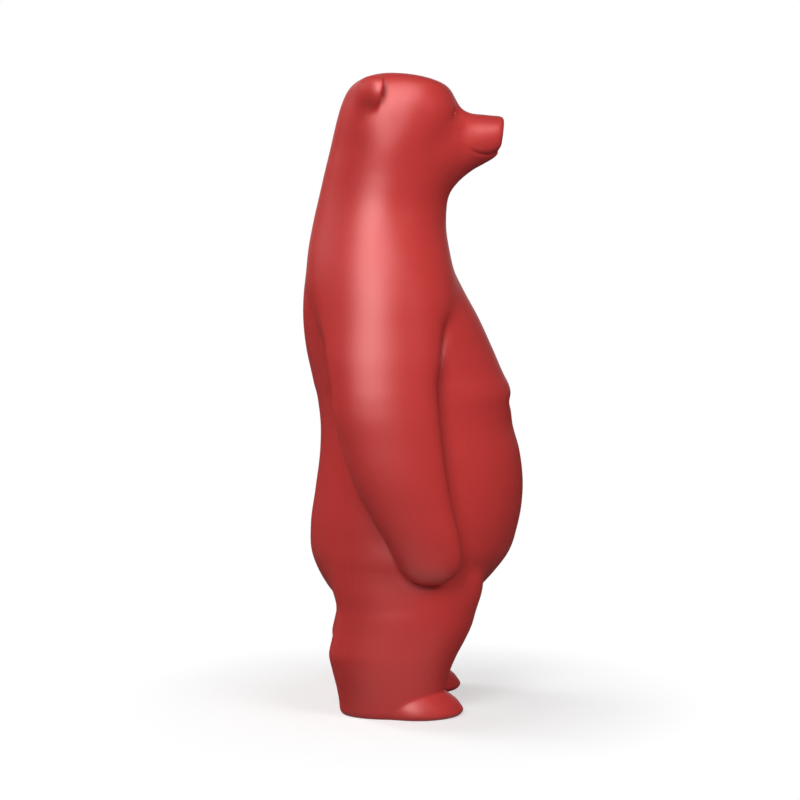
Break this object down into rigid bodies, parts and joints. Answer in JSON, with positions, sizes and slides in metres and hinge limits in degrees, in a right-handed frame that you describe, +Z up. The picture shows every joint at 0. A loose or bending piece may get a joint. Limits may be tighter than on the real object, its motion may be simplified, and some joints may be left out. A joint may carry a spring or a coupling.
{
  "type": "standing bear statuette",
  "caption": "Upright standing bear statuette in smooth hollow vinyl castings, arms hanging at its sides, with weighted feet and flat soles that it stands on.",
  "frame": {"origin": "on the floor, under the middle of the figure's bounding box", "axes": "+X is the way the bear faces, +Y is its left side, +Z is up"},
  "size_m": [0.1048, 0.1304, 0.3],
  "materials": {
    "red_vinyl": "satin",
    "bung_vinyl": "satin",
    "steel_slug": "machined"
  },
  "bodies": {
    "root": {"head": "red_vinyl", "torso": "red_vinyl", "left_arm": "red_vinyl", "right_arm": "red_vinyl", "left_leg": "red_vinyl", "right_leg": "red_vinyl", "left_sole_bung": "bung_vinyl", "right_sole_bung": "bung_vinyl", "left_ballast_slug": "steel_slug", "right_ballast_slug": "steel_slug"}
  },
  "joints": []
}
